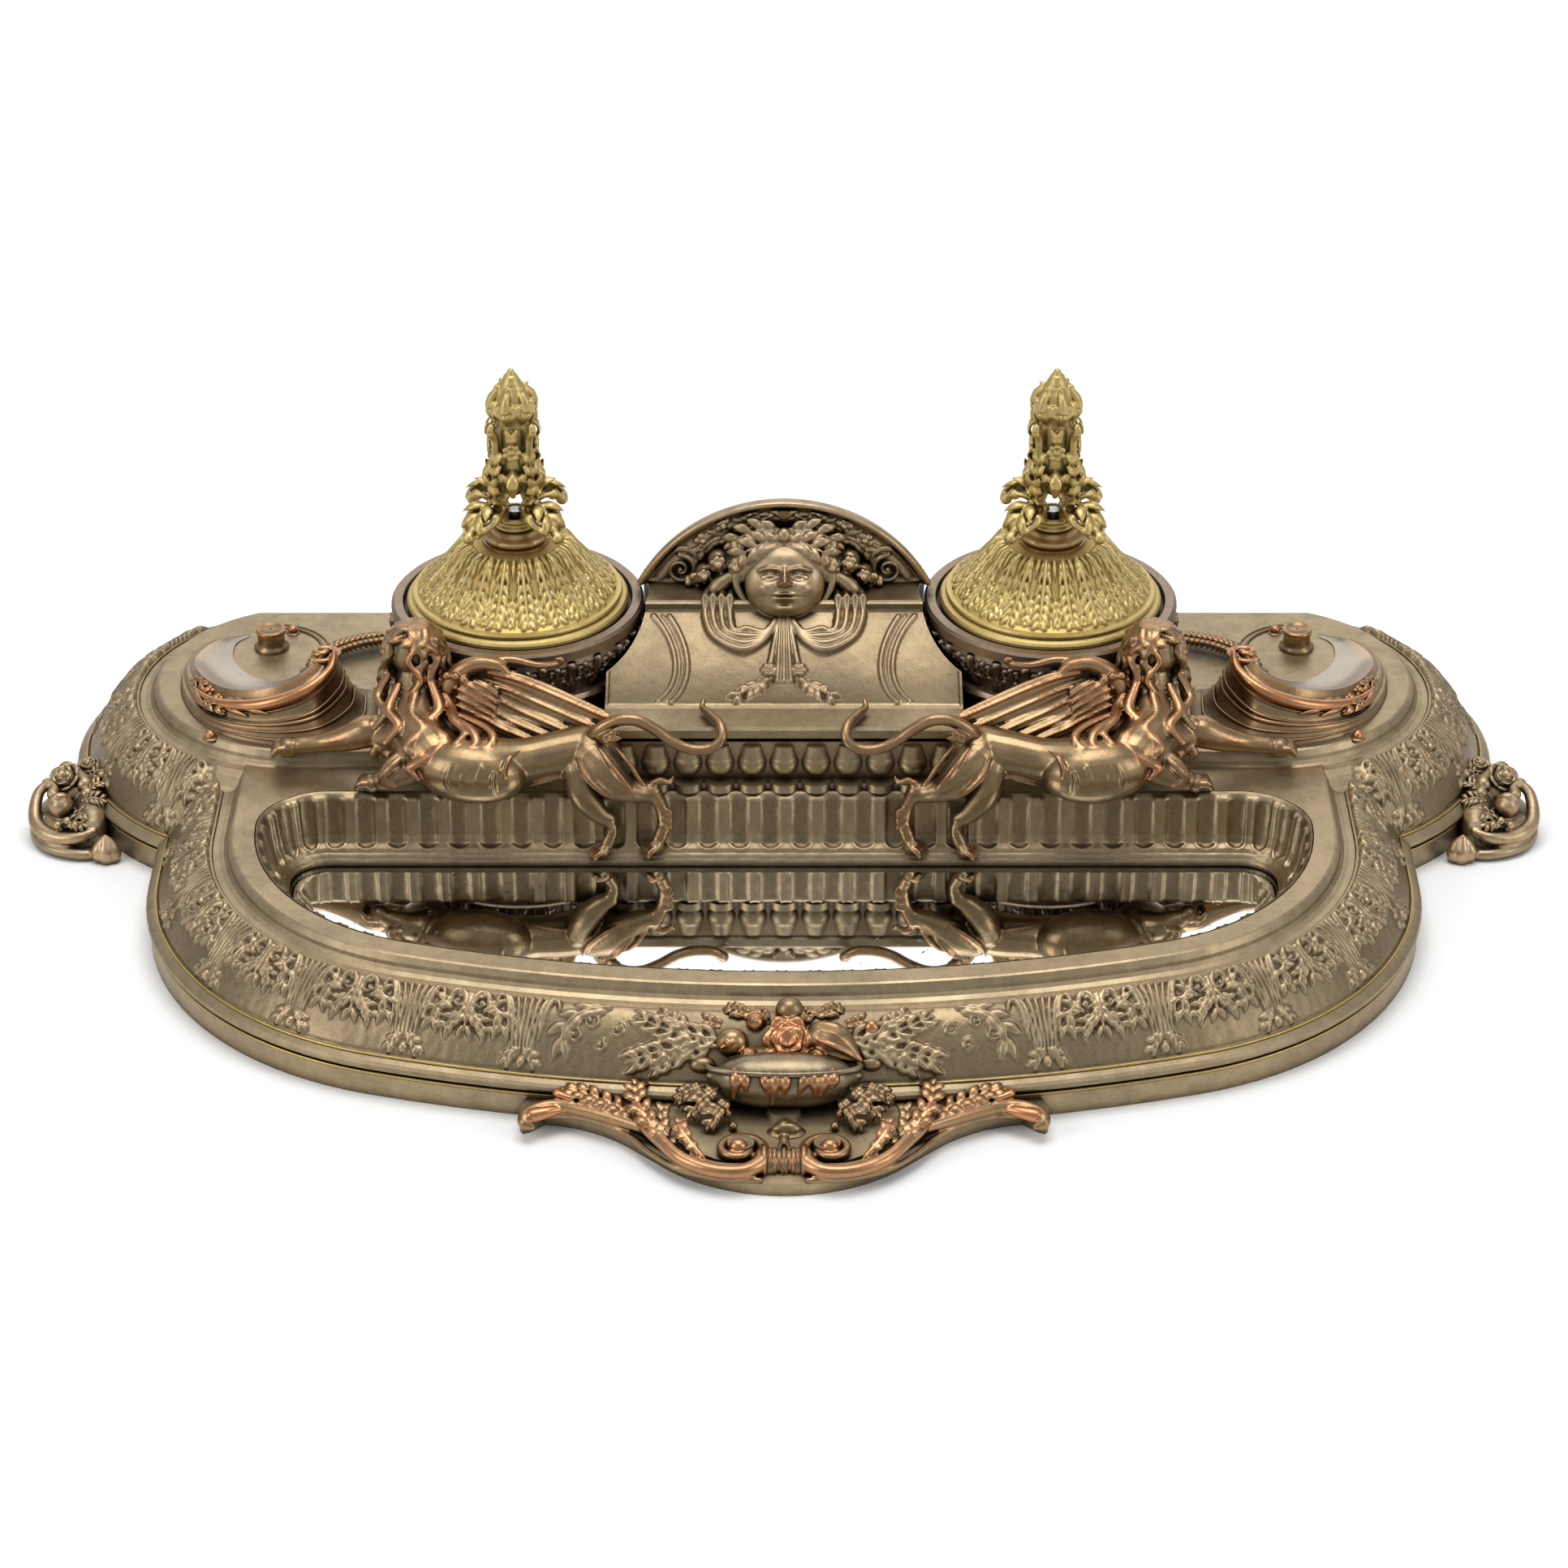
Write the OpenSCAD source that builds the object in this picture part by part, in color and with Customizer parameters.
// Double inkstand with a pen tray: a moulded plinth with two wells, lift-off lids, a coved
// centre block with a lunette crest, two winged lions with human heads and end scrolls.
// Millimetres. X runs along the front, Y to the back, Z up from the desk.

/* [Plinth] */
// Distance from the middle to the centre of each rounded end
end_x = 137; // [130:1:148]
// Radius of the end plateaus at their top edge
end_r = 44; // [41:1:46]
// Depth of the end centres behind the tray's corner centres
end_y = 73; // [71:1:76]
// Height of the rear plateau
plateau_z = 33; // [31:1:36]
// Flat back face
back_y = 112; // [108:1:116]
// Spread of the mouldings from the top edge to the foot
foot_out = 23; // [20:0.5:25]
// Height of the plain foot band
foot_h = 6.4; // [5:0.2:7]

/* [Tray] */
// Distance from the middle to the centre of each tray corner
tray_x = 82; // [76:1:86]
// Corner radius of the tray's top edge
corner_r = 70; // [66:1:73]
// Radius of the long bowed front edge
front_r = 357; // [320:1:400]
// Height of the tray's rim
rim_z = 29; // [28:0.5:30]
// Width of the flat rim
rim_w = 7; // [6:0.5:9]
// Straight back edge of the opening
open_back = 13.8; // [12:0.2:15]
// Slope of the fluted wall, from rim to mirror
wall_in = 8.5; // [7:0.5:10]
// Top of the mirror plate
mirror_z = 11; // [10:0.5:12]
// Spacing of the flutes
flute_pitch = 8.7; // [8:0.1:12]
// Radius of one flute
flute_r = 2.6; // [2:0.1:3]

/* [Wells] */
// Distance from the middle to each well
well_x = 76; // [76:0.5:80]
// Distance of the wells behind the tray's corner centres
well_y = 72; // [70:0.5:73]
// Outer radius of the cups
cup_r = 36; // [34:0.5:37]
// Top of the cups
cup_top = 59.5; // [57:0.5:62]
// Bore of the cups
cup_bore = 27.5; // [26.5:0.5:28]
// Radius of the lids
lid_r = 31.7; // [31:0.1:32]
// Outer radius of the glass ink pots
pot_r = 25; // [23:0.5:25.5]

/* [Block and crest] */
// Half length of the block's front ledge
block_half = 50; // [47:1:52]
// Height of the front ledge
ledge_z = 47; // [45:0.5:48]
// Height of the top fillet
block_top = 62; // [60:0.5:64]
// Radius of the lunette
crest_r = 47; // [44:0.5:50]
// Top of the lunette
crest_top = 88; // [85:0.5:91]
// Number of gadroons along the block
gadroons = 11; // [7:2:11]

/* [Front apron] */
// Reach of the apron in front of the tray's corner centres
apron_reach = 140.4; // [136:0.5:144]
// Thickness of the apron's front edge
apron_edge = 3.4; // [3:0.1:4]
// Half length of the fruit bowl
bowl_half = 19; // [17:0.5:21]
// Depth of the fruit bowl
bowl_r = 7.5; // [7:0.1:8]

/* [Hidden] */
$fn = 96;
big_fn = 720;

tray_y = -5;
front_alpha = asin(tray_x / (front_r - corner_r));
front_c = tray_y + sqrt(pow(front_r - corner_r, 2) - pow(tray_x, 2));
open_r = corner_r - rim_w;
open_end = tray_x + open_r;
back_r = open_back - tray_y;
back_cx = open_end - back_r;
front_foot = front_c - front_r - foot_out;
bowl_z = 16.5;
mid_shift = (apron_reach - back_y) / 2;
board_h = 2.6;
board_gap = 0.4;
seat = 0.3;
pot_floor = plateau_z + 4.3;
pot_top = cup_top - 6.5;
figure_lift = plateau_z - 33;
bolt_r = 2.5;
bronze = [0.50, 0.43, 0.32];
dark_bronze = [0.30, 0.25, 0.20];
copper = [0.66, 0.42, 0.28];
gilt = [0.78, 0.66, 0.32];

// Whole object, centred on its footprint
module placed() {
    translate([0, mid_shift, 0]) children();
}

module both_sides() {
    children();
    mirror([1, 0, 0]) children();
}

// Points of the plinth's side, from the foot up to the top edge, at radius r for height h
function foot_points(r) = [
    [r + foot_out, 0], [r + foot_out, foot_h - 0.2], [r + foot_out - 0.5, foot_h + 0.3],
    for (i = [0 : 6]) [r + foot_out - 1.3 + 2.2 * sin(30 * i), foot_h + 0.6 + 4 * i / 6],
    [r + foot_out - 2, foot_h + 4.8], [r + foot_out - 2.6, foot_h + 5.2]
];
function frieze_points(r, h) = [
    for (i = [0 : 6])
        let (t = 1 - i / 6)
        [r + 5.6 + (foot_out - 8.2) * t,
         h - 4.2 + (foot_h + 5.2 - h + 4.2) * pow(t, 1.6)]
];
function cove_points(r, h) = [
    [r + 5, h - 4.2], [r + 5, h - 4.6],
    for (i = [0 : 4])
        let (a = 90 - 22.5 * i)
        [r + 0.5 + 4.1 * (1 - cos(a)), h - 1.8 - 2.6 * sin(a)],
    [r + 0.1, h - 1.2], [r - 0.5, h - 0.3], [r - 1.1, h]
];
module plinth_profile(r, h, inner = 0) {
    polygon(concat([[inner, 0]], foot_points(r), frieze_points(r, h), cove_points(r, h),
                   [[inner, h]]));
}

// Body of the rear: two round ends and a straight run, cut flat at the back
module rear_body() {
    intersection() {
        union() {
            both_sides() translate([-end_x, end_y, 0]) rotate([0, 0, 90])
                rotate_extrude(angle = 180) plinth_profile(end_r, plateau_z);
            for (side = [0, 1])
                translate([-end_x, end_y, 0]) rotate([90, 0, 90]) linear_extrude(2 * end_x)
                    mirror([side, 0, 0]) plinth_profile(end_r, plateau_z);
        }
        translate([-300, -100, -1]) cube([600, 100 + back_y, 80]);
    }
}

// Body of the tray: wedges swept about each corner centre, a bowed front and straight flanks
module tray_body() {
    flank = end_y - 15 - tray_y;
    both_sides() {
        translate([-tray_x, tray_y, 0]) rotate([0, 0, 180])
            rotate_extrude(angle = 90 - front_alpha) plinth_profile(corner_r, rim_z);
        translate([-tray_x, tray_y + flank, 0]) rotate([90, 0, 0])
            linear_extrude(flank) mirror([1, 0, 0]) plinth_profile(corner_r, rim_z);
    }
    translate([0, front_c, 0]) rotate([0, 0, 270 - front_alpha])
        rotate_extrude(angle = 2 * front_alpha, $fn = big_fn)
            plinth_profile(front_r, rim_z, front_r - corner_r);
    translate([-tray_x, tray_y - 25, 0]) cube([2 * tray_x, flank + 25, rim_z]);
}

// Section of the tray's hollow: mirror recess, curved foot of the wall, sloping wall, lip
module hollow_profile(r, inner = 0) {
    polygon([
        [inner, mirror_z - 0.3], [r - wall_in + 0.3, mirror_z - 0.3],
        [r - wall_in + 0.3, mirror_z + 0.2], [r - wall_in + 2.6, mirror_z + 1.2],
        [r - wall_in + 4.6, mirror_z + 3.4], [r - wall_in + 5.6, mirror_z + 6],
        [r - 1.4, rim_z - 1.6], [r, rim_z - 0.6], [r + 0.3, rim_z + 0.2],
        [r + 0.3, rim_z + 40], [inner, rim_z + 40]
    ]);
}

// The bowed wedge laps a hair past the corner wedges, so that no skin is left between them
module tray_hollow() {
    lap = 0.0005;
    both_sides() {
        translate([-tray_x, tray_y, 0]) rotate([0, 0, 180])
            rotate_extrude(angle = 90 - front_alpha) hollow_profile(open_r);
        translate([-back_cx, tray_y, 0]) rotate([0, 0, 90])
            rotate_extrude(angle = 90) hollow_profile(back_r);
    }
    translate([0, front_c, 0]) rotate([0, 0, 270 - front_alpha - lap])
        rotate_extrude(angle = 2 * (front_alpha + lap), $fn = big_fn)
            hollow_profile(front_r - rim_w, front_r - corner_r - 5);
    translate([-back_cx, tray_y, 0]) rotate([90, 0, 90])
        linear_extrude(2 * back_cx) hollow_profile(back_r);
    translate([-tray_x - 6, tray_y - 25, mirror_z - 0.3])
        cube([2 * tray_x + 12, 25.2, rim_z + 40]);
    translate([0, 0, mirror_z - 4.5]) linear_extrude(4.5) plate_outline(-0.5);
}

// One flute, standing against a wall whose rim is at radius r on the local X axis
module flute(r) {
    low = [r - wall_in + 4.9 - flute_r + 1.1, mirror_z + 5.4];
    high = [r - 1.4 - flute_r + 1.1, rim_z - 2.6 - flute_r];
    run = norm(high - low);
    lean = atan2(high[0] - low[0], high[1] - low[1]);
    translate([low[0], 0, low[1]]) rotate([0, lean, 0]) {
        sphere(flute_r, $fn = 24);
        cylinder(h = run, r = flute_r, $fn = 24);
        translate([0, 0, run]) sphere(flute_r, $fn = 24);
    }
}

module flutes() {
    n = floor((back_cx - 1) / flute_pitch);
    for (i = [-n : n])
        translate([i * flute_pitch, tray_y, 0]) rotate([0, 0, 90]) flute(back_r);
    both_sides() {
        turn = 90 / 4;
        for (i = [0.5 : 3.5])
            translate([-back_cx, tray_y, 0]) rotate([0, 0, 90 + turn * i]) flute(back_r);
        step = flute_pitch / open_r * 180 / PI;
        for (i = [0.5 : 8.5])
            translate([-tray_x, tray_y, 0]) rotate([0, 0, 180 + step * i]) flute(open_r);
    }
}

// Underside: recess for the board, then the cavity of the casting with its walls left
module base_hollow() {
    translate([0, 0, -1]) linear_extrude(1 + board_gap + board_h) board_outline(0);
    both_sides() translate([-end_x, end_y, 0])
        cylinder(r = back_y - end_y - 5, h = plateau_z - 5);
    translate([-end_x, end_y - end_r + 9, 0])
        cube([2 * end_x, back_y - 5 - end_y + end_r - 9, plateau_z - 5]);
    linear_extrude(foot_h + 3) rim_cavity(foot_out - 8);
    linear_extrude(rim_z - 12) rim_cavity(6);
}

// Plan of the cavity under the tray's mouldings, from the hollow's wall outwards
module rim_cavity(out) {
    difference() {
        tray_outline(out, end_y - end_r - 10);
        tray_outline(-2.6, end_y);
    }
}
module tray_outline(out, back) {
    side = concat(
        arc_points(0, front_c, front_r + out, 270, 270 + front_alpha, 10),
        arc_points(tray_x, tray_y, corner_r + out, 270 + front_alpha + 4, 360, 10),
        [[tray_x + corner_r + out, back]]);
    mirrored_polygon(side);
}

// Closed outline from its right-hand half
module mirrored_polygon(side) {
    last = len(side) - 1;
    polygon(concat(side, [for (i = [0 : last]) [-side[last - i][0], side[last - i][1]]]));
}

function arc_points(x, y, r, a0, a1, n = 6) =
    [for (i = [0 : n]) [x + r * cos(a0 + (a1 - a0) * i / n), y + r * sin(a0 + (a1 - a0) * i / n)]];

// Outline of the board, drawn in by a gap all round
function board_side(gap) =
    let (r = corner_r + foot_out - 7 - gap, e = back_y - end_y - 2.5 - gap,
         a = acos(min(1, (tray_x + r - end_x) / e)))
    concat(arc_points(tray_x, tray_y, r, -90, 0, 12), arc_points(end_x, end_y, e, -a, 90, 12));
module board_outline(gap) {
    mirrored_polygon(board_side(gap));
}

module base_casting() {
    color(bronze) placed() difference() {
        union() {
            rear_body();
            tray_body();
        }
        tray_hollow();
        flutes();
        base_hollow();
        for (s = [-1, 1]) {
            translate([s * well_x, well_y, 0]) cylinder(r = 3.1, h = 60, $fn = 32);
            translate([s * 24, end_y - 20, 0]) cylinder(r = bolt_r + 0.1, h = 60, $fn = 32);
        }
    }
}

module base_board() {
    color([0.30, 0.20, 0.13]) placed() difference() {
        translate([0, 0, board_gap]) linear_extrude(board_h - 0.1) board_outline(0.4);
        board_screw_places() {
            cylinder(r = 1.6, h = 20, center = true, $fn = 24);
            cylinder(r = 3.1, h = board_gap + 0.75, $fn = 24);
        }
    }
}

module board_screw_places() {
    for (x = [-1, 1]) {
        translate([x * (tray_x + 8), tray_y - 55, 0]) children();
        translate([x * (tray_x + 71), tray_y + 25, 0]) children();
    }
}

// Flat-topped wood screws that hold the board up into the casting
module board_screws() {
    color([0.45, 0.43, 0.40]) placed() board_screw_places() difference() {
        union() {
            translate([0, 0, board_gap - 0.2]) cylinder(r = 3, h = 0.9, $fn = 24);
            cylinder(r = 1.5, h = board_gap + board_h - 0.15, $fn = 24);
        }
        translate([-4, -0.4, -1]) cube([8, 0.8, 1.6]);
    }
}

// D-shaped outline of the tray's floor, drawn in by an inset
module plate_outline(inset) {
    r = open_r - wall_in - inset;
    b = back_r - wall_in - inset;
    mirrored_polygon(concat(
        arc_points(0, front_c, front_r - rim_w - wall_in - inset, 270, 270 + front_alpha, 16),
        arc_points(tray_x, tray_y, r, 270 + front_alpha + 3, 360, 16),
        arc_points(back_cx, tray_y, b, 12, 90, 8)));
}

// Mirror plate with a wide bevel all round
module tray_mirror() {
    bevel = 5.2;
    edge = 1.6;
    color([0.80, 0.84, 0.86]) placed() {
        hull() {
            translate([0, 0, mirror_z - 3.5]) linear_extrude(3.5 - edge) plate_outline(0.2);
            translate([0, 0, mirror_z - 3.5]) linear_extrude(3.5) plate_outline(0.2 + bevel);
        }
    }
}

module mirror_backing() {
    color([0.25, 0.25, 0.27]) placed() translate([0, 0, mirror_z - 4.5])
        linear_extrude(1) plate_outline(0.6);
}

// Side view of the block: ledge, hollow curve rising to the top fillet, plain back
function cove_z(y) = ledge_z + (block_top - 2 - ledge_z) * pow(max(0, (y - 31) / 34), 1.7);
module block_section() {
    polygon(concat(
        [[84, plateau_z], [84, block_top], [64, block_top], [63.4, block_top - 0.4]],
        [for (i = [0 : 8]) let (y = 63.4 - 32.4 * i / 8) [y, cove_z(y)]],
        [[29.2, ledge_z - 0.5], [28.6, ledge_z], [18.2, ledge_z], [17.4, ledge_z - 0.8],
         [17.4, ledge_z - 3.2], [18.4, ledge_z - 4], [22, ledge_z - 4.4], [22, plateau_z]]
    ));
}

// Everything of the block, without the bores: used to seat what lies on it
module block_body(grow = 0) {
    difference() {
        translate([-block_half - grow, 0, 0]) rotate([90, 0, 90])
            linear_extrude(2 * block_half + 2 * grow) block_section();
        for (s = [-1, 1]) translate([s * well_x, well_y, 0]) cylinder(r = cup_r + 1.6, h = 100);
    }
}

module centre_block() {
    frame_r = 23;
    color(bronze) placed() difference() {
        union() {
            block_body();
            for (s = [-1, 1]) intersection() {
                block_body();
                translate([s * (block_half + 4), 46, 0]) cylinder(r = frame_r, h = 90);
            }
        }
        for (s = [-1, 1]) {
            translate([s * 24, end_y - 20, 0]) cylinder(r = bolt_r, h = plateau_z + 6, $fn = 32);
            translate([s * (block_half + 4), 46, 0]) intersection() {
                difference() {
                    cylinder(r = frame_r + 2.6, h = 90);
                    translate([0, 0, -1]) cylinder(r = frame_r, h = 92);
                }
                rotate([90, 0, 90]) translate([-46, -0.9, -60]) linear_extrude(120)
                    polygon(concat(
                        [for (i = [0 : 8]) let (y = 62 - 31 * i / 8) [y, cove_z(y)]],
                        [[31, 80], [62, 80]]));
            }
        }
    }
}

// Band of rounded lobes under the ledge, on a wavy shelf
module block_gadroons() {
    pitch = 2 * (block_half - 1) / gadroons;
    lobe = pitch / 2 - 0.25;
    color(bronze) placed() intersection() {
        union() {
            translate([-block_half + 0.5, 17.6, rim_z]) cube([2 * block_half - 1, 4.4, 14]);
            for (i = [0 : gadroons - 1]) {
                x = -block_half + 1 + pitch * (i + 0.5);
                translate([x, 18.6, rim_z + 7]) sphere(lobe, $fn = 32);
                translate([x, 18.6, rim_z + 7])
                    cylinder(h = 5.6, r1 = lobe, r2 = lobe - 1.4, $fn = 32);
                translate([x, 16.4, rim_z]) cylinder(h = 2.4, r = lobe + 0.1, $fn = 32);
            }
            translate([-block_half + 0.5, 14.6, rim_z]) cube([2 * block_half - 1, 7.4, 2]);
        }
        translate([-100, 0, rim_z]) cube([200, 22, ledge_z - 4.4 - rim_z]);
        difference() {
            translate([-100, 0, 0]) cube([200, 60, 80]);
            keepout_rear_front();
            translate([-end_x, end_y, 0]) rotate([90, 0, 90]) linear_extrude(2 * end_x)
                mirror([1, 0, 0]) side_keepout(end_r, plateau_z);
        }
    }
}

// Simple shape of the rear body's front edge, for seating pieces against it
module keepout_rear_front() {
    translate([-end_x, 0, 0]) rotate([90, 0, 90]) linear_extrude(2 * end_x)
        polygon([[end_y, 0], [end_y, plateau_z], [end_y - end_r + 1, plateau_z],
                 [end_y - end_r, plateau_z - 0.5], [end_y - end_r - 0.8, plateau_z - 2],
                 [end_y - end_r - 5.1, plateau_z - 3.8], [end_y - end_r - 5.7, 0]]);
}

module block_screws() {
    color([0.45, 0.43, 0.40]) placed() for (s = [-1, 1]) translate([s * 24, end_y - 20, 0]) {
        translate([0, 0, plateau_z - 5 - 3]) cylinder(r = 4.4, h = 3, $fn = 6);
        translate([0, 0, plateau_z - 5]) cylinder(r = bolt_r - 0.05, h = 10.5, $fn = 32);
    }
}

// Lunette behind the block: a plate with a raised round border
module crest() {
    color(bronze) placed() translate([0, 76, crest_top - crest_r]) rotate([-90, 0, 0])
        intersection() {
            union() {
                cylinder(r = crest_r - 1, h = 6);
                translate([0, 0, -1.6]) difference() {
                    cylinder(r = crest_r, h = 9.2);
                    translate([0, 0, -1]) cylinder(r = crest_r - 2, h = 2.6);
                    translate([0, 0, 8]) cylinder(r = crest_r - 4, h = 2.6);
                }
            }
            translate([-60, -60 - (block_top - crest_top + crest_r), -4]) cube([120, 60, 20]);
        }
}

// Oval mask in front of the lunette
module crest_mask() {
    color(bronze) placed() intersection() {
        union() {
            translate([0, 78, 65.4]) sphere(12.4, $fn = 48);
            translate([0, 76.2, 58.5]) sphere(9.2, $fn = 48);
            translate([0, 72, 61.5]) rotate([16, 0, 0]) cylinder(h = 7, r1 = 3, r2 = 1.6, $fn = 24);
            for (s = [-1, 1]) {
                translate([s * 13, 77, 72]) sphere(6.2, $fn = 32);
                translate([s * 17, 77, 64.5]) sphere(4.6, $fn = 32);
                translate([s * 6, 77, 78.5]) sphere(6, $fn = 32);
            }
        }
        difference() {
            translate([-40, 40, 40]) cube([80, 36, 60]);
            block_body(5);
        }
    }
}

// Cloth hanging in two loops with a straight fall between them
module crest_drapery() {
    color(bronze) placed() difference() {
        union() {
            for (s = [-1, 1]) translate([s * 13.4, 62, 57.5]) rotate([24, 0, 0]) {
                for (r = [5.4, 9]) rotate([0, 0, 180])
                    rotate_extrude(angle = 180) translate([r, 0]) circle(1.9, $fn = 24);
                for (q = [-9, -5.4, 5.4, 9])
                    translate([q, 0, 0]) rotate([-90, 0, 0]) cylinder(r = 1.9, h = 13, $fn = 24);
            }
            for (q = [-3, 0, 3]) translate([q * 0.8, 66, 59.6]) rotate([90 + 20, 0, -q * 1.6])
                cylinder(r1 = 1.6, r2 = 2.2, h = 22 - abs(q), $fn = 24);
            for (s = [-1, 1]) translate([s * 4.2, 46, 50.6]) sphere(2.6, $fn = 24);
        }
        block_body(5);
        translate([-60, 76, 0]) cube([120, 60, 120]);
        translate([-60, 63.3, 0]) cube([120, 60, block_top]);
        translate([0, 78, 65.4]) sphere(12.6, $fn = 48);
        translate([0, 76.2, 58.5]) sphere(9.4, $fn = 48);
        for (s = [-1, 1]) translate([s * 17, 77, 64.5]) sphere(4.8, $fn = 32);
        for (s = [-1, 1]) translate([s * 13, 77, 72]) sphere(6.4, $fn = 32);
    }
}

// Turned cup: spread foot, waist, rounded belly under a plain rim, seat for the lid
// Heights of the cup's mouldings, spread over the height between the plateau and its top
function cup_z(rise) = plateau_z + rise * (cup_top - plateau_z) / 26.5;
module cup() {
    top = cup_top;
    rotate_extrude() polygon([
        [3, plateau_z], [cup_r + 1, plateau_z], [cup_r + 1.2, cup_z(1.2)],
        [cup_r, cup_z(2.6)], [cup_r - 2.6, cup_z(3.4)], [cup_r - 4.4, cup_z(5.2)],
        [cup_r - 4.2, cup_z(7)], [cup_r - 1.6, cup_z(8.4)],
        [cup_r + 0.4, cup_z(9.4)], [cup_r + 0.8, cup_z(10.6)],
        [cup_r, cup_z(11.8)], [cup_r - 2.2, cup_z(12.4)],
        [cup_r - 1.6, cup_z(15.5)], [cup_r - 0.6, cup_z(18.5)], [cup_r - 0.4, cup_z(21.1)],
        [cup_r - 1, cup_z(22.5)], [cup_r, top - 3.4], [cup_r, top - 0.8], [cup_r - 0.8, top],
        [lid_r + 1.1, top], [lid_r + 0.7, top - 0.6], [lid_r + 0.7, top - 2.2],
        [cup_bore + 0.4, top - 2.2], [cup_bore, top - 2.6], [cup_bore, pot_floor - seat],
        [3, pot_floor - seat]
    ]);
}

module cup_left() { color(dark_bronze) placed() translate([-well_x, well_y, 0]) cup(); }
module cup_right() { color(dark_bronze) placed() translate([well_x, well_y, 0]) cup(); }

// Studs that pull the cups down onto the casting, with their nuts inside it
module cup_studs() {
    color([0.45, 0.43, 0.40]) placed() for (s = [-1, 1]) translate([s * well_x, well_y, 0]) {
        translate([0, 0, plateau_z - 9]) cylinder(r = 2.95, h = pot_floor - plateau_z + 8.6, $fn = 32);
        translate([0, 0, plateau_z - 8.2]) cylinder(r = 5.6, h = 3.2, $fn = 6);
    }
}

// Glass pot with rounded inner foot and a ground rim
module ink_pot() {
    rotate_extrude() polygon([
        [0, pot_floor], [pot_r - 1.2, pot_floor], [pot_r, pot_floor + 1.2], [pot_r, pot_top - 3],
        [pot_r + 0.8, pot_top - 2.4], [pot_r + 0.8, pot_top - 0.6], [pot_r + 0.2, pot_top],
        [pot_r - 2.4, pot_top], [pot_r - 3, pot_top - 0.6], [pot_r - 3, pot_floor + 6],
        [pot_r - 4.4, pot_floor + 4], [pot_r - 8, pot_floor + 3], [0, pot_floor + 2.8]
    ]);
}
module ink_pot_left() { color([0.75, 0.85, 0.88, 0.5]) placed() translate([-well_x, well_y, 0]) ink_pot(); }
module ink_pot_right() { color([0.75, 0.85, 0.88, 0.5]) placed() translate([well_x, well_y, 0]) ink_pot(); }

// Spun dome: double round rim, hollow flare, shoulder; guided by a ring inside the cup
lid_z = cup_top - 2.2 + seat;
function flare(k) = [for (i = [0 : 7]) let (t = i / 7)
    [28.4 - 12.4 * t - k, lid_z + 5.2 + 12.6 * (0.62 * t + 0.38 * t * t) - k * 0.9]];
module lid() {
    r = lid_r;
    rotate_extrude() polygon(concat(
        [[cup_bore - 0.7, lid_z - 3], [cup_bore - 0.6, lid_z], [r - 0.6, lid_z]],
        [for (i = [1 : 5]) [r - 1.4 + 1.4 * sin(30 * i), lid_z + 1.6 - 1.6 * cos(30 * i)]],
        [[r - 1.5, lid_z + 3.3]],
        [for (i = [1 : 4]) [r - 2.6 + 0.9 * sin(36 * i), lid_z + 4.3 - 0.9 * cos(36 * i)]],
        flare(0),
        [[15.2, lid_z + 18.8], [12.5, lid_z + 19.6], [9.6, lid_z + 20], [2.1, lid_z + 20],
         [2.1, lid_z + 17.8], [9, lid_z + 17.8], [12, lid_z + 17.1]],
        [for (i = [0 : 7]) flare(2)[7 - i]],
        [[25.4, lid_z + 1.4], [cup_bore - 2.6, lid_z], [cup_bore - 2.6, lid_z - 3]]
    ));
}
module lid_left() { color(gilt) placed() translate([-well_x, well_y, 0]) lid(); }
module lid_right() { color(gilt) placed() translate([well_x, well_y, 0]) lid(); }

module lid_collar() {
    z = lid_z + 20;
    rotate_extrude() polygon([
        [2.1, z], [9.4, z], [9.4, z + 0.8], [8.6, z + 1.1], [9.3, z + 1.8], [9.5, z + 2.5],
        [9.1, z + 3.2], [7.2, z + 3.6], [6.6, z + 4.6], [5.4, z + 4.9], [2.1, z + 4.9]
    ]);
}
module lid_collar_left() { color(copper) placed() translate([-well_x, well_y, 0]) lid_collar(); }
module lid_collar_right() { color(copper) placed() translate([well_x, well_y, 0]) lid_collar(); }

// Openwork finial: four scroll legs with splayed leaves carry a clustered cone
fin_z = lid_z + 24.9;
module finial() {
    difference() {
        union() {
            translate([0, 0, fin_z]) cylinder(r = 5, h = 1.6, $fn = 48);
            translate([0, 0, fin_z]) cylinder(r = 3, h = 6.4, $fn = 32);
            for (k = [0 : 3]) rotate([0, 0, 90 * k + 45]) {
                translate([3.4, 0, fin_z + 6.6]) rotate([90, 0, 0]) rotate([0, 0, -90])
                    rotate_extrude(angle = 180) translate([5.2, 0]) circle(1.5, $fn = 24);
                translate([7, 0, fin_z + 2.4]) rotate([0, 62, 0]) scale([1, 1, 1])
                    cylinder(h = 10, r1 = 2.2, r2 = 0.7, $fn = 24);
            }
            for (tier = [[fin_z + 12.6, 7, 8, 2.5], [fin_z + 17.6, 6.2, 8, 2.6],
                         [fin_z + 23.4, 5.6, 7, 2.5], [fin_z + 29, 4.6, 6, 2.3],
                         [fin_z + 34.4, 3.4, 5, 2.1]])
                for (k = [0 : tier[2] - 1]) rotate([0, 0, 360 / tier[2] * k + tier[0] * 7])
                    translate([tier[1] - tier[3] * 0.5, 0, tier[0]]) sphere(tier[3], $fn = 20);
            translate([0, 0, fin_z + 9.8]) cylinder(r1 = 5, r2 = 6, h = 3, $fn = 48);
            translate([0, 0, fin_z + 12.8]) cylinder(r1 = 6, r2 = 1.2, h = 131 - fin_z - 13.8, $fn = 48);
            translate([0, 0, 129.9]) sphere(1.4, $fn = 24);
        }
        translate([0, 0, fin_z - 1]) cylinder(r = 2.05, h = 6.4, $fn = 32);
    }
}
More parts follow.
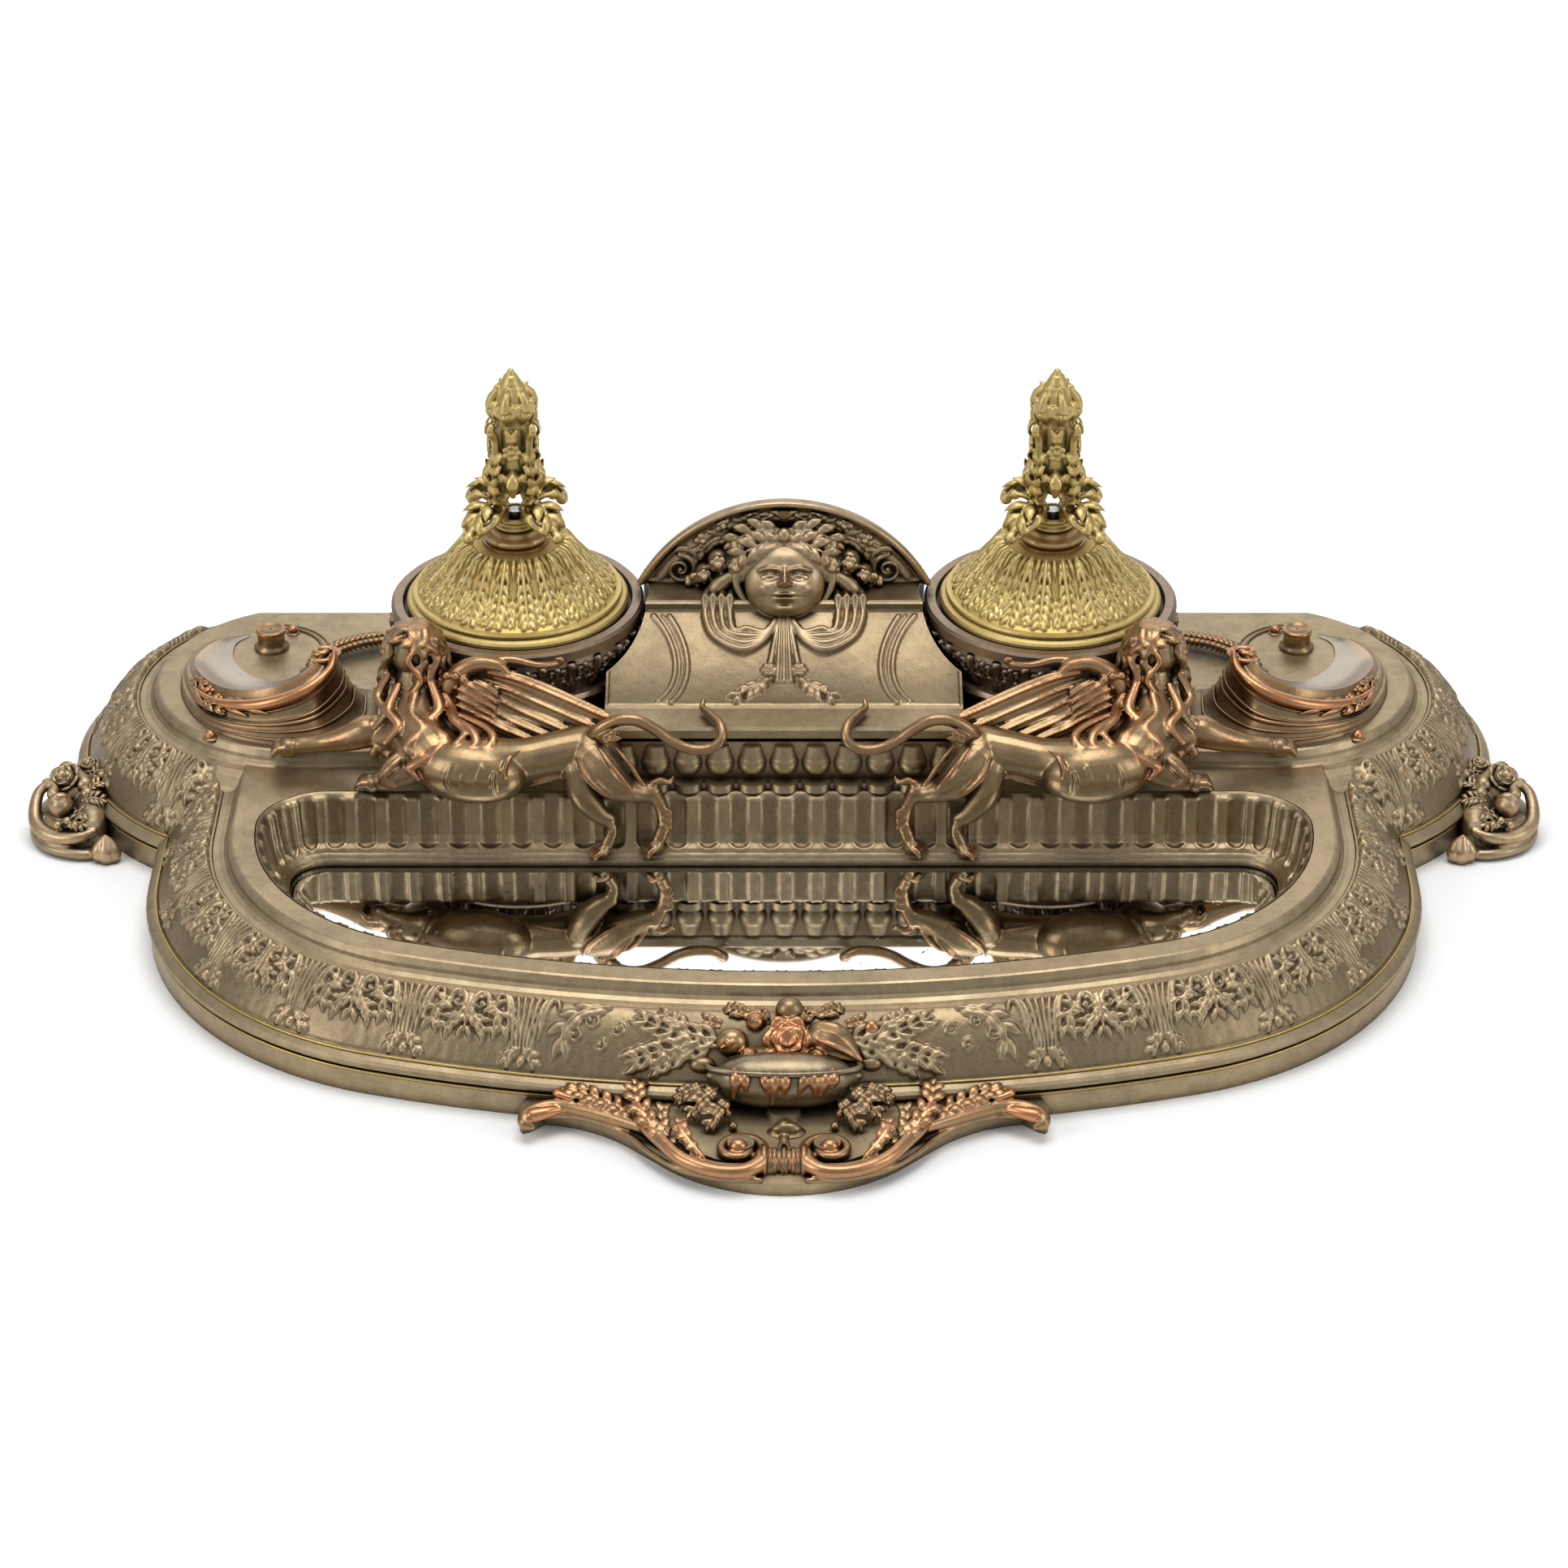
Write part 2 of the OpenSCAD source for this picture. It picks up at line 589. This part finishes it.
module finial_left() { color(gilt) placed() translate([-well_x, well_y, 0]) finial(); }
module finial_right() { color(gilt) placed() translate([well_x, well_y, 0]) finial(); }

module finial_screw() {
    z = lid_z + 17.8;
    difference() {
        union() {
            translate([0, 0, z]) cylinder(r = 2, h = 12, $fn = 32);
            translate([0, 0, z - 2.4]) cylinder(r = 4, h = 2.4, $fn = 32);
        }
        translate([-5, -0.5, z - 3]) cube([10, 1, 1.8]);
    }
}
module finial_screw_left() { color([0.5, 0.48, 0.45]) placed() translate([-well_x, well_y, 0]) finial_screw(); }
module finial_screw_right() { color([0.5, 0.48, 0.45]) placed() translate([well_x, well_y, 0]) finial_screw(); }

// Tapered limb between two points with round ends
module limb(a, ra, b, rb, q = 12) {
    hull() {
        translate(a) sphere(ra, $fn = q);
        translate(b) sphere(rb, $fn = q);
    }
}

// Lion body with a human head and long locks: lies along the back of the tray, hind legs
// stretched down its wall, forelegs reaching to the end of the plateau
module chimera() {
    difference() {
        translate([0, 0, figure_lift]) {
            limb([-86, 8, 38.5], 9, [-99, 17, 40.5], 8.2, 14);
            limb([-86, 8, 38.5], 9, [-66, 13, 38.5], 6.8, 14);
            limb([-66, 13, 38.5], 6.8, [-55, 19, 38.5], 6.6, 14);
            limb([-99, 17, 40.5], 8.2, [-103, 30, 45], 7.4, 14);
            limb([-103, 30, 45], 7.4, [-103, 34, 53], 4.8);
            limb([-103, 34.5, 60], 6, [-104, 33, 57.6], 5, 14);
            limb([-108, 30, 43.6], 5.2, [-117, 29, 40], 4);
            limb([-117, 29, 40], 4, [-137, 27.5, 36.6], 3);
            limb([-137, 27.5, 36.6], 3, [-142, 26.5, 35.4], 3.2);
            limb([-104, 19, 39], 5, [-112, 13.6, 35], 3.6);
            limb([-112, 13.6, 35], 3.6, [-117, 13.8, 33], 3.4);
            limb([-54, 15, 37.5], 6.6, [-45.5, 8.8, 32], 4);
            limb([-45.5, 8.8, 32], 4, [-36, 8.4, 31], 2.6);
            limb([-36, 8.4, 31], 2.6, [-34, 7, 19], 2);
            limb([-34, 7.6, 19], 2, [-37, 5.2, 17], 2.4);
            limb([-58, 14, 36], 5, [-52, 9, 27], 3);
            limb([-52, 9, 27], 3, [-46, 6.6, 23.4], 2.4);
            for (k = [0 : 3])
                limb([-96 - 4 * k, 31 - 2.6 * k, 60], 2.8, [-94 - 5 * k, 22 - k, 45 - 2 * k], 2.2, 8);
        }
        chimera_seat();
    }
}

// What the lions lie on: plateau edge, tray rim, fluted wall
module chimera_seat() {
    translate([-170, 27.4, 0]) cube([170, 60, plateau_z + 0.05]);
    translate([-170, open_back + 0.2, 0]) cube([170, 60, rim_z + 0.05]);
    translate([-170, 22.8, 0]) cube([170, 60, plateau_z - 3]);
    translate([-well_x, well_y, 0]) cylinder(r = cup_r + 1.4, h = 64);
    translate([-block_half - 1, 12.1, 0]) cube([60, 60, 80]);
    translate([-back_cx - 30, tray_y, 0]) rotate([90, 0, 90]) linear_extrude(2 * back_cx + 60)
        polygon([[back_r + 0.2, rim_z], [back_r - 1.3, rim_z - 1.5],
                 [back_r - wall_in + 5.7, mirror_z + 6], [back_r - wall_in + 4.7, mirror_z + 3.4],
                 [back_r - wall_in, mirror_z], [back_r + 30, mirror_z], [back_r + 30, rim_z]]);
}
module chimera_left() { color(copper) placed() chimera(); }
module chimera_right() { color(copper) placed() mirror([1, 0, 0]) chimera(); }

// Folded wing: a curled leading edge and long feathers swept back
module wing() {
    difference() {
        translate([0, 0, figure_lift]) {
            limb([-90, 30, 49], 3, [-88, 30, 56], 3, 10);
            limb([-88, 30, 56], 3, [-82, 29.5, 59.5], 2.6, 10);
            limb([-82, 29.5, 59.5], 2.6, [-74, 28, 57], 2.4, 10);
            for (k = [0 : 4])
                limb([-86 + 3 * k, 29 - 0.6 * k, 55 - 2.4 * k], 2.6,
                     [-52 - 3.4 * k, 21.4 + 0.2 * k, 48.2 - 1.6 * k], 1.3, 8);
        }
        chimera();
        translate([-well_x, well_y, 0]) cylinder(r = cup_r + 1.4, h = 64);
        translate([-block_half, 14.4, 0]) cube([60, 60, 80]);
    }
}
module wing_left() { color(copper) placed() wing(); }
module wing_right() { color(copper) placed() mirror([1, 0, 0]) wing(); }

// Long whip tail in two bends, its tip lying on the block's ledge
tail_path = [[-52.5, 12.4, 44], [-47, 12.6, 49], [-41, 12.6, 50.6], [-35, 12.2, 49.4], [-30, 11.6, 46],
             [-25.4, 11, 43.4], [-20.8, 11.4, 42.8], [-17.6, 12.6, 44.6], [-16.6, 14.6, 47.4],
             [-18.6, 18, 48.6], [-21, 23.4, 48.5], [-22.6, 27, 48.7]];
module tail() {
    difference() {
        translate([0, 0, figure_lift]) for (i = [0 : len(tail_path) - 2])
            limb(tail_path[i], 1.75 - 0.05 * i, tail_path[i + 1], 1.7 - 0.05 * i, 10);
        chimera();
        translate([-60, 17.38, 30]) cube([120, 60, ledge_z - 30 + 0.02]);
    }
}
module tail_left() { color(copper) placed() tail(); }
module tail_right() { color(copper) placed() mirror([1, 0, 0]) tail(); }

// End scroll: a crescent dish rising to a rolled volute beside the well
module at_end() {
    translate([-end_x, end_y, 0]) children();
}
module scroll() {
    difference() {
        at_end() translate([0, 0, plateau_z]) intersection() {
            difference() {
                translate([-1, 1, 0]) cylinder(r1 = 25.5, r2 = 22.5, h = 16);
                translate([-7.5, 11, -1]) cylinder(r1 = 13.4, r2 = 18.5, h = 18);
                translate([-6.5, 9, 5]) cylinder(r1 = 15.4, r2 = 22, h = 12);
            }
            translate([-33, -33, 0]) rotate([90, 0, 90]) linear_extrude(60)
                polygon([[0, 0], [0, 13], [12, 12], [58, 1.6], [58, 0]]);
        }
        translate([-well_x, well_y, 0]) cylinder(r = cup_r + 1.4, h = 64);
    }
    difference() {
        at_end() translate([11.5, -17, plateau_z + 8.6]) rotate([90, 0, 0]) cylinder(r = 8.8, h = 15);
        at_end() translate([13, -13, plateau_z + 7.4]) rotate([90, 0, 0]) cylinder(r = 6, h = 15.4);
        at_end() translate([13.6, -13, plateau_z + 1]) cube([20, 10, 8], center = true);
        at_end() translate([-3, -33, plateau_z - 6]) cube([40, 20, 6]);
        translate([-well_x, well_y, 0]) cylinder(r = cup_r + 1.4, h = 64);
    }
    difference() {
        at_end() translate([10.5, -14, plateau_z + 9.6]) rotate([90, 0, 0]) cylinder(r = 2.8, h = 16);
        at_end() translate([-3, -33, plateau_z - 6]) cube([40, 20, 6]);
        translate([-well_x, well_y, 0]) cylinder(r = cup_r + 1.4, h = 64);
    }
}
module scroll_left() { color(bronze) placed() scroll(); }
module scroll_right() { color(bronze) placed() mirror([1, 0, 0]) scroll(); }

module scroll_boss() {
    at_end() translate([-12, 17.5, plateau_z]) {
        cylinder(r = 5.2, h = 1.2, $fn = 48);
        cylinder(r1 = 3.4, r2 = 4.4, h = 5.2, $fn = 48);
        translate([0, 0, 5.2]) cylinder(r1 = 5, r2 = 4.6, h = 2.2, $fn = 48);
    }
}
module scroll_boss_left() { color(copper) placed() scroll_boss(); }
module scroll_boss_right() { color(copper) placed() mirror([1, 0, 0]) scroll_boss(); }

// Space of the plinth's moulded side, for seating the cartouches against it
module side_keepout(r, h, inner = 0) {
    polygon(concat(
        [[inner, -1], [r + foot_out + 0.05, -1], [r + foot_out + 0.05, foot_h],
         [r + foot_out + 1, foot_h + 1.6], [r + foot_out + 1, foot_h + 3.8],
         [r + foot_out - 1.5, foot_h + 5.1]],
        [for (p = frieze_points(r, h)) p + [0.1, 0.1]],
        [[r + 5.2, h - 3.4], [r + 5.2, h + 30], [inner, h + 30]]));
}

// Scalloped shell with fruit on the middle of each end
module side_cartouche() {
    half_long = end_x + end_r + foot_out;
    translate([-half_long, end_y, 0]) difference() {
        union() {
            translate([5, -30, 0]) cylinder(r1 = 15.4, r2 = 12, h = 7);
            translate([5, -30, 7]) cylinder(r1 = 12, r2 = 8, h = 6);
            for (a = [100 : 32 : 260])
                translate([3 + 10.2 * cos(a), -30 + 10.2 * sin(a), 5.4]) sphere(4.9, $fn = 32);
            translate([-3, -31, 11]) sphere(4.4, $fn = 32);
            translate([1, -23, 12]) sphere(3.8, $fn = 32);
            translate([1, -38, 11]) sphere(3.6, $fn = 32);
            translate([5, -30, 15]) sphere(4.2, $fn = 32);
            translate([13.6, -46.8, 3.8]) sphere(3.8, $fn = 32);
        }
        translate([end_r + foot_out, 0, 0]) rotate([0, 0, 90]) rotate_extrude(angle = 180)
            side_keepout(end_r, plateau_z);
        translate([-60, -140, -20]) cube([200, 200, 20]);
    }
}
module side_cartouche_left() { color(bronze) placed() side_cartouche(); }
module side_cartouche_right() { color(bronze) placed() mirror([1, 0, 0]) side_cartouche(); }

// Ogee outline of the apron, set in by a distance: a round nose, a straight flank, a hollow
// sweep and a curled tip
apron_nose = 44;
apron_flank = 11.2;
apron_sweep = 40;
function apron_side(y0, inset) =
    let (nose_y = y0 + apron_nose,
         flank_x = apron_nose * sin(45) + apron_flank * cos(45),
         flank_y = nose_y - apron_nose * cos(45) + apron_flank * sin(45),
         sweep_x = flank_x + apron_sweep * sin(45),
         sweep_y = flank_y - apron_sweep * cos(45),
         tip_x = sweep_x - apron_sweep * sin(8),
         tip_y = sweep_y + apron_sweep * cos(8))
    concat(
        arc_points(0, nose_y, apron_nose - inset, -90, -45, 10),
        arc_points(sweep_x, sweep_y, apron_sweep + inset, 135, 98, 8),
        inset > 0
            ? [[tip_x - 1, tip_y + inset], [tip_x - 3, front_foot + 8]]
            : [[tip_x + 2, tip_y - 1.9], [tip_x + 4, tip_y - 3.7], [tip_x + 5.6, tip_y - 4.4],
               [tip_x + 6.4, tip_y - 3], [tip_x + 6, tip_y + 1], [tip_x + 4, front_foot + 8]]);
module apron_outline(inset) {
    mirrored_polygon(apron_side(-apron_reach, inset));
}
module apron_step(inset, nose_z, foot_z) {
    intersection() {
        linear_extrude(foot_z) apron_outline(inset);
        translate([-90, 0, 0]) rotate([90, 0, 90]) linear_extrude(180)
            polygon([[-apron_reach - 1, 0], [-apron_reach - 1, nose_z],
                     [-apron_reach + 4 + inset, nose_z + 0.7], [front_foot - 1, foot_z],
                     [front_foot + 20, foot_z], [front_foot + 20, 0]]);
    }
}
module apron_plate() {
    apron_step(0, apron_edge, foot_h - 0.6);
    apron_step(4.6, apron_edge + 1.4, foot_h + 1);
}

// Front apron: a plate in two steps on the desk before the plinth's foot, with the ribbed collar
// and the two scroll eyes of its C-scrolls, and the stem that carries the fruit bowl
module front_apron() {
    collar_y = -apron_reach + 7.5;
    color(bronze) placed() difference() {
        union() {
            apron_plate();
            translate([-5, collar_y, apron_edge + 1]) rotate([0, 90, 0])
                cylinder(r = 3.2, h = 10, $fn = 32);
            for (x = [-3.6, 0, 3.6])
                translate([x - 0.8, collar_y, apron_edge + 1]) rotate([0, 90, 0])
                    cylinder(r = 3.8, h = 1.6, $fn = 32);
            for (s = [-1, 1])
                translate([s * 11, -apron_reach + 12, 2]) cylinder(r1 = 4.6, r2 = 3.4, h = 6.4, $fn = 32);
            translate([0, front_foot - 4, 3]) cylinder(r1 = 6, r2 = 4, h = bowl_z - bowl_r - 3, $fn = 32);
            translate([0, front_foot - 10.5, foot_h + 0.6]) sphere(2.4, $fn = 24);
        }
        front_keepout();
        bowl();
    }
}

// Space of the tray's bowed front, for seating what stands against it
module front_keepout() {
    translate([0, front_c, 0]) rotate([0, 0, 270 - 14])
        rotate_extrude(angle = 28, $fn = big_fn) side_keepout(front_r, rim_z, front_r - 40);
}

// Boat-shaped fruit bowl, half of a spindle that lies along the front
function spindle(half, r) = [for (i = [0 : 12]) let (a = 15 * i) [r * sin(a), -half * cos(a)]];
module bowl() {
    intersection() {
        translate([0, front_foot + 2, bowl_z]) rotate([0, 90, 0]) rotate_extrude($fn = 64)
            polygon(spindle(bowl_half, bowl_r));
        translate([-bowl_half, front_foot - 20, 0]) cube([2 * bowl_half, 40, bowl_z]);
    }
}

// Fruit bowl against the plinth, its fruit, and the rose and ball above it
module apron_rosette() {
    color(copper) placed() difference() {
        union() {
            bowl();
            for (k = [-2 : 2])
                translate([5.6 * k, front_foot + 2.4 + 0.5 * abs(k), bowl_z + 0.8 - 0.6 * abs(k)])
                    sphere(3.4, $fn = 24);
            translate([0, front_foot + 7, bowl_z + 5]) rotate([52, 0, 0]) {
                for (k = [0 : 4]) rotate([0, 0, 72 * k + 18]) translate([0, 4, 0]) sphere(2.7, $fn = 24);
                translate([0, 0, 1.2]) sphere(2.9, $fn = 24);
            }
            translate([0, front_foot + 15.4, rim_z - 3.4]) sphere(2.5, $fn = 24);
            for (s = [-1, 1]) translate([s * 9.6, front_foot + 9.4, bowl_z + 4.4]) sphere(2.8, $fn = 24);
        }
        front_keepout();
    }
}

base_casting();
base_board();
board_screws();
tray_mirror();
mirror_backing();
centre_block();
block_gadroons();
block_screws();
crest();
crest_mask();
crest_drapery();
cup_left();
cup_right();
cup_studs();
ink_pot_left();
ink_pot_right();
lid_left();
lid_right();
lid_collar_left();
lid_collar_right();
finial_left();
finial_right();
finial_screw_left();
finial_screw_right();
chimera_left();
chimera_right();
wing_left();
wing_right();
tail_left();
tail_right();
scroll_left();
scroll_right();
scroll_boss_left();
scroll_boss_right();
side_cartouche_left();
side_cartouche_right();
front_apron();
apron_rosette();
